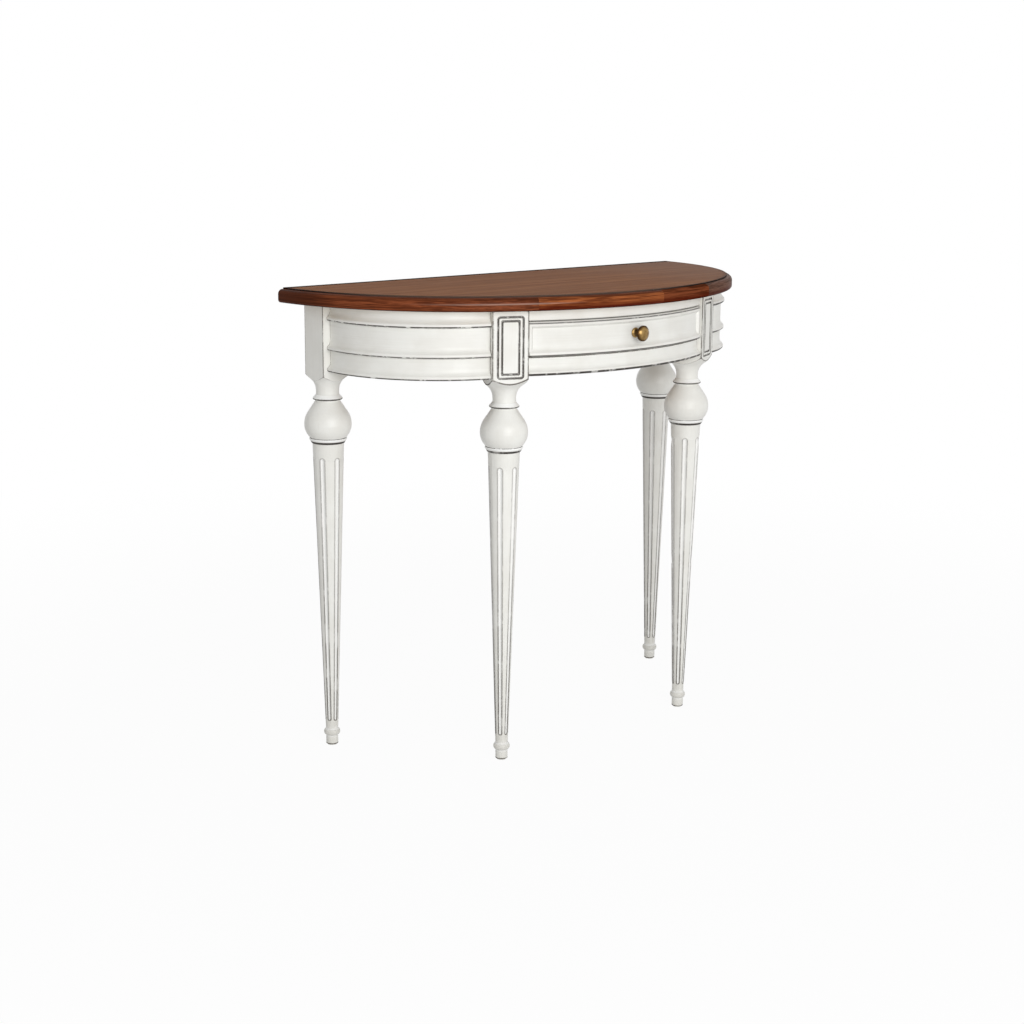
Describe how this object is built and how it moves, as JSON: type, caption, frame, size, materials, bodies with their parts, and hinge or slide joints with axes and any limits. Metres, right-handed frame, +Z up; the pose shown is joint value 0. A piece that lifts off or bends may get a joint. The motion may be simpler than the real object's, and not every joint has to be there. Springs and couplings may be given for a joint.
{
  "type": "demilune table",
  "caption": "Half-round console table with a brown wooden top with shaped edging, a banded painted apron, a bowed drawer with a turned knob, and turned fluted legs.",
  "frame": {"origin": "on the floor, under the middle of the table top's bounding box", "axes": "+Z up, +X along the straight back edge, the bowed front faces -Y"},
  "size_m": [0.91, 0.39, 0.78],
  "materials": {
    "paint": "satin paint, rubbed through at the edges",
    "top_wood": "stained, satin lacquer",
    "edge_wood": "stained, satin lacquer",
    "plain_wood": "bare",
    "knob_brass": "aged",
    "screw_steel": "zinc plated",
    "glide_nylon": "moulded"
  },
  "bodies": {
    "table": {"leg_front_left": "paint", "leg_front_right": "paint", "leg_back_left": "paint", "leg_back_right": "paint", "side_apron_left": "paint", "side_apron_right": "paint", "back_rail": "paint", "front_top_rail": "paint", "front_bottom_rail": "paint", "top_panel": "top_wood", "top_edge_1": "edge_wood", "top_edge_2": "edge_wood", "top_edge_3": "edge_wood", "top_edge_4": "edge_wood", "top_edge_5": "edge_wood", "top_back_lipping": "edge_wood", "drawer_runner_left": "plain_wood", "drawer_runner_right": "plain_wood", "drawer_guide_left": "plain_wood", "drawer_guide_right": "plain_wood", "drawer_kicker_left": "plain_wood", "drawer_kicker_right": "plain_wood", "drawer_stops": "plain_wood", "top_block_side_left": "plain_wood", "top_block_side_right": "plain_wood", "top_block_back_left": "plain_wood", "top_block_back_right": "plain_wood", "corner_block_left": "plain_wood", "corner_block_right": "plain_wood", "apron_dowels": "plain_wood", "back_rail_dowels": "plain_wood", "front_rail_dowels": "plain_wood", "top_screws": "screw_steel", "foot_glides": "glide_nylon"},
    "drawer": {"drawer_front": "paint", "drawer_side_left": "plain_wood", "drawer_side_right": "plain_wood", "drawer_back": "plain_wood", "drawer_bottom": "plain_wood", "drawer_bottom_screws": "screw_steel", "drawer_knob": "knob_brass", "knob_screw": "screw_steel"}
  },
  "joints": [
    {"name": "drawer_slide", "type": "slide", "parent": "table", "child": "drawer", "axis": [0, -1, 0], "range_m": [0, 0.17]}
  ]
}
